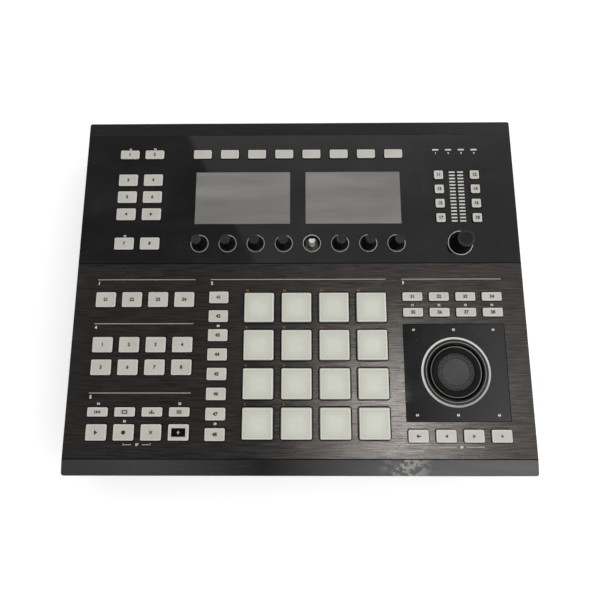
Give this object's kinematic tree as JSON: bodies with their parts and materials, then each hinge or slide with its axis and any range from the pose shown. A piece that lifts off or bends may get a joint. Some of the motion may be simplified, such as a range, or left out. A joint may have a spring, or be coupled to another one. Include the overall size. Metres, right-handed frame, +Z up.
{
  "type": "midi pad controller",
  "caption": "Flat desktop pad controller with two displays, turning dials, square drum pads, a jog wheel and blocks of sprung keys, on a two-part case with fold-out tilt feet.",
  "frame": {"origin": "on the table, under the middle of the case", "axes": "+X to the user's right, +Y to the rear, +Z up from the table"},
  "size_m": [0.44, 0.353, 0.06],
  "materials": {
    "case_plastic": "fine-textured black moulding",
    "strip_plastic": "fine-textured dark grey moulding",
    "gloss_panel": "polished black acrylic",
    "brushed_plate": "black anodised, brushed from side to side",
    "light_plastic": "translucent white light pipe",
    "display_glass": "grey display face, switched off",
    "circuit_board": "green solder mask",
    "bright_steel": "plain bright steel",
    "ring_metal": "satin grey ring",
    "socket_plastic": "black socket moulding",
    "screw_steel": "blackened steel",
    "foot_rubber": "soft black rubber",
    "jog_plastic": "satin black wheel",
    "dial_plastic": "soft-touch black",
    "key_plastic": "warm light grey, slightly translucent",
    "pad_rubber": "light grey silicone"
  },
  "bodies": {
    "case": {"bottom_case": "case_plastic", "top_frame": "strip_plastic", "rear_panel": "case_plastic", "display_panel": "gloss_panel", "control_plate": "brushed_plate", "jog_panel": "gloss_panel", "jog_light_ring": "light_plastic", "left_display": "display_glass", "right_display": "display_glass", "upper_board": "circuit_board", "lower_board": "circuit_board", "socket_board": "circuit_board", "encoder_bodies": "bright_steel", "knob_rings": "ring_metal", "status_lights": "light_plastic", "midi_sockets": "socket_plastic", "footswitch_jacks": "socket_plastic", "usb_socket": "bright_steel", "power_inlet": "socket_plastic", "case_screws": "screw_steel", "rubber_feet": "foot_rubber"},
    "jog_push": {"jog_shaft": "bright_steel"},
    "jog": {"jog_wheel": "jog_plastic"},
    "dial_1": {"knob_1": "dial_plastic"},
    "dial_2": {"knob_2": "dial_plastic"},
    "dial_3": {"knob_3": "dial_plastic"},
    "dial_4": {"knob_4": "dial_plastic"},
    "dial_5": {"bare_shaft_5": "bright_steel"},
    "dial_6": {"knob_6": "dial_plastic"},
    "dial_7": {"knob_7": "dial_plastic"},
    "dial_8": {"knob_8": "dial_plastic"},
    "level_dial": {"level_knob": "dial_plastic"},
    "left_tilt": {"left_tilt_foot": "case_plastic"},
    "right_tilt": {"right_tilt_foot": "case_plastic"},
    "power": {"power_button": "socket_plastic"},
    "pad_1": {"pad_1": "pad_rubber"},
    "pad_2": {"pad_2": "pad_rubber"},
    "pad_3": {"pad_3": "pad_rubber"},
    "pad_4": {"pad_4": "pad_rubber"},
    "pad_5": {"pad_5": "pad_rubber"},
    "pad_6": {"pad_6": "pad_rubber"},
    "pad_7": {"pad_7": "pad_rubber"},
    "pad_8": {"pad_8": "pad_rubber"},
    "pad_9": {"pad_9": "pad_rubber"},
    "pad_10": {"pad_10": "pad_rubber"},
    "pad_11": {"pad_11": "pad_rubber"},
    "pad_12": {"pad_12": "pad_rubber"},
    "pad_13": {"pad_13": "pad_rubber"},
    "pad_14": {"pad_14": "pad_rubber"},
    "pad_15": {"pad_15": "pad_rubber"},
    "pad_16": {"pad_16": "pad_rubber"},
    "menu_keys": {"menu_keys": "key_plastic"},
    "soft_keys": {"soft_keys": "key_plastic"},
    "level_keys": {"level_keys": "key_plastic"},
    "performance_keys": {"performance_keys": "key_plastic"},
    "group_keys": {"group_keys": "key_plastic"},
    "transport_keys": {"transport_keys": "key_plastic"},
    "mode_keys": {"mode_keys": "key_plastic"},
    "edit_keys": {"edit_keys": "key_plastic"},
    "nav_keys": {"nav_keys": "key_plastic"}
  },
  "joints": [
    {"name": "jog_wheel_push", "type": "slide", "parent": "case", "child": "jog_push", "axis": [0, 0, 1], "range_m": [-0.0008, 0], "stiffness_N_per_m": 1500, "springref_m": 0.0012},
    {"name": "jog_wheel_turn", "type": "hinge", "parent": "jog_push", "child": "jog", "pos_m": [0.14945, -0.0821, 0.045], "axis": [0, 0, 1], "continuous": true},
    {"name": "dial_1_turn", "type": "hinge", "parent": "case", "child": "dial_1", "pos_m": [-0.0997, 0.0449, 0.045], "axis": [0, 0, 1], "continuous": true},
    {"name": "dial_2_turn", "type": "hinge", "parent": "case", "child": "dial_2", "pos_m": [-0.0715, 0.0449, 0.045], "axis": [0, 0, 1], "continuous": true},
    {"name": "dial_3_turn", "type": "hinge", "parent": "case", "child": "dial_3", "pos_m": [-0.0433, 0.0449, 0.045], "axis": [0, 0, 1], "continuous": true},
    {"name": "dial_4_turn", "type": "hinge", "parent": "case", "child": "dial_4", "pos_m": [-0.0151, 0.0449, 0.045], "axis": [0, 0, 1], "continuous": true},
    {"name": "dial_5_turn", "type": "hinge", "parent": "case", "child": "dial_5", "pos_m": [0.0131, 0.0449, 0.045], "axis": [0, 0, 1], "continuous": true},
    {"name": "dial_6_turn", "type": "hinge", "parent": "case", "child": "dial_6", "pos_m": [0.0413, 0.0449, 0.045], "axis": [0, 0, 1], "continuous": true},
    {"name": "dial_7_turn", "type": "hinge", "parent": "case", "child": "dial_7", "pos_m": [0.0695, 0.0449, 0.045], "axis": [0, 0, 1], "continuous": true},
    {"name": "dial_8_turn", "type": "hinge", "parent": "case", "child": "dial_8", "pos_m": [0.0977, 0.0449, 0.045], "axis": [0, 0, 1], "continuous": true},
    {"name": "level_dial_turn", "type": "hinge", "parent": "case", "child": "level_dial", "pos_m": [0.1615, 0.0449, 0.045], "axis": [0, 0, 1], "continuous": true},
    {"name": "left_tilt_foot_fold", "type": "hinge", "parent": "case", "child": "left_tilt", "pos_m": [-0.174, 0.1555, 0.0063], "axis": [1, 0, 0], "range_deg": [0, 100]},
    {"name": "right_tilt_foot_fold", "type": "hinge", "parent": "case", "child": "right_tilt", "pos_m": [0.174, 0.1555, 0.0063], "axis": [1, 0, 0], "range_deg": [0, 100]},
    {"name": "power_button_push", "type": "slide", "parent": "case", "child": "power", "axis": [0, -1, 0], "range_m": [0, 0.001], "stiffness_N_per_m": 900, "springref_m": -0.001},
    {"name": "pad_1_press", "type": "slide", "parent": "case", "child": "pad_1", "axis": [0, 0, 1], "range_m": [-0.001, 0], "stiffness_N_per_m": 1500, "springref_m": 0.0008},
    {"name": "pad_2_press", "type": "slide", "parent": "case", "child": "pad_2", "axis": [0, 0, 1], "range_m": [-0.001, 0], "stiffness_N_per_m": 1500, "springref_m": 0.0008},
    {"name": "pad_3_press", "type": "slide", "parent": "case", "child": "pad_3", "axis": [0, 0, 1], "range_m": [-0.001, 0], "stiffness_N_per_m": 1500, "springref_m": 0.0008},
    {"name": "pad_4_press", "type": "slide", "parent": "case", "child": "pad_4", "axis": [0, 0, 1], "range_m": [-0.001, 0], "stiffness_N_per_m": 1500, "springref_m": 0.0008},
    {"name": "pad_5_press", "type": "slide", "parent": "case", "child": "pad_5", "axis": [0, 0, 1], "range_m": [-0.001, 0], "stiffness_N_per_m": 1500, "springref_m": 0.0008},
    {"name": "pad_6_press", "type": "slide", "parent": "case", "child": "pad_6", "axis": [0, 0, 1], "range_m": [-0.001, 0], "stiffness_N_per_m": 1500, "springref_m": 0.0008},
    {"name": "pad_7_press", "type": "slide", "parent": "case", "child": "pad_7", "axis": [0, 0, 1], "range_m": [-0.001, 0], "stiffness_N_per_m": 1500, "springref_m": 0.0008},
    {"name": "pad_8_press", "type": "slide", "parent": "case", "child": "pad_8", "axis": [0, 0, 1], "range_m": [-0.001, 0], "stiffness_N_per_m": 1500, "springref_m": 0.0008},
    {"name": "pad_9_press", "type": "slide", "parent": "case", "child": "pad_9", "axis": [0, 0, 1], "range_m": [-0.001, 0], "stiffness_N_per_m": 1500, "springref_m": 0.0008},
    {"name": "pad_10_press", "type": "slide", "parent": "case", "child": "pad_10", "axis": [0, 0, 1], "range_m": [-0.001, 0], "stiffness_N_per_m": 1500, "springref_m": 0.0008},
    {"name": "pad_11_press", "type": "slide", "parent": "case", "child": "pad_11", "axis": [0, 0, 1], "range_m": [-0.001, 0], "stiffness_N_per_m": 1500, "springref_m": 0.0008},
    {"name": "pad_12_press", "type": "slide", "parent": "case", "child": "pad_12", "axis": [0, 0, 1], "range_m": [-0.001, 0], "stiffness_N_per_m": 1500, "springref_m": 0.0008},
    {"name": "pad_13_press", "type": "slide", "parent": "case", "child": "pad_13", "axis": [0, 0, 1], "range_m": [-0.001, 0], "stiffness_N_per_m": 1500, "springref_m": 0.0008},
    {"name": "pad_14_press", "type": "slide", "parent": "case", "child": "pad_14", "axis": [0, 0, 1], "range_m": [-0.001, 0], "stiffness_N_per_m": 1500, "springref_m": 0.0008},
    {"name": "pad_15_press", "type": "slide", "parent": "case", "child": "pad_15", "axis": [0, 0, 1], "range_m": [-0.001, 0], "stiffness_N_per_m": 1500, "springref_m": 0.0008},
    {"name": "pad_16_press", "type": "slide", "parent": "case", "child": "pad_16", "axis": [0, 0, 1], "range_m": [-0.001, 0], "stiffness_N_per_m": 1500, "springref_m": 0.0008},
    {"name": "menu_keys_press", "type": "slide", "parent": "case", "child": "menu_keys", "axis": [0, 0, 1], "range_m": [-0.0008, 0], "stiffness_N_per_m": 900, "springref_m": 0.001},
    {"name": "soft_keys_press", "type": "slide", "parent": "case", "child": "soft_keys", "axis": [0, 0, 1], "range_m": [-0.0008, 0], "stiffness_N_per_m": 900, "springref_m": 0.001},
    {"name": "level_keys_press", "type": "slide", "parent": "case", "child": "level_keys", "axis": [0, 0, 1], "range_m": [-0.0008, 0], "stiffness_N_per_m": 900, "springref_m": 0.001},
    {"name": "performance_keys_press", "type": "slide", "parent": "case", "child": "performance_keys", "axis": [0, 0, 1], "range_m": [-0.0008, 0], "stiffness_N_per_m": 900, "springref_m": 0.001},
    {"name": "group_keys_press", "type": "slide", "parent": "case", "child": "group_keys", "axis": [0, 0, 1], "range_m": [-0.0008, 0], "stiffness_N_per_m": 900, "springref_m": 0.001},
    {"name": "transport_keys_press", "type": "slide", "parent": "case", "child": "transport_keys", "axis": [0, 0, 1], "range_m": [-0.0008, 0], "stiffness_N_per_m": 900, "springref_m": 0.001},
    {"name": "mode_keys_press", "type": "slide", "parent": "case", "child": "mode_keys", "axis": [0, 0, 1], "range_m": [-0.0008, 0], "stiffness_N_per_m": 900, "springref_m": 0.001},
    {"name": "edit_keys_press", "type": "slide", "parent": "case", "child": "edit_keys", "axis": [0, 0, 1], "range_m": [-0.0008, 0], "stiffness_N_per_m": 900, "springref_m": 0.001},
    {"name": "nav_keys_press", "type": "slide", "parent": "case", "child": "nav_keys", "axis": [0, 0, 1], "range_m": [-0.0008, 0], "stiffness_N_per_m": 900, "springref_m": 0.001}
  ]
}
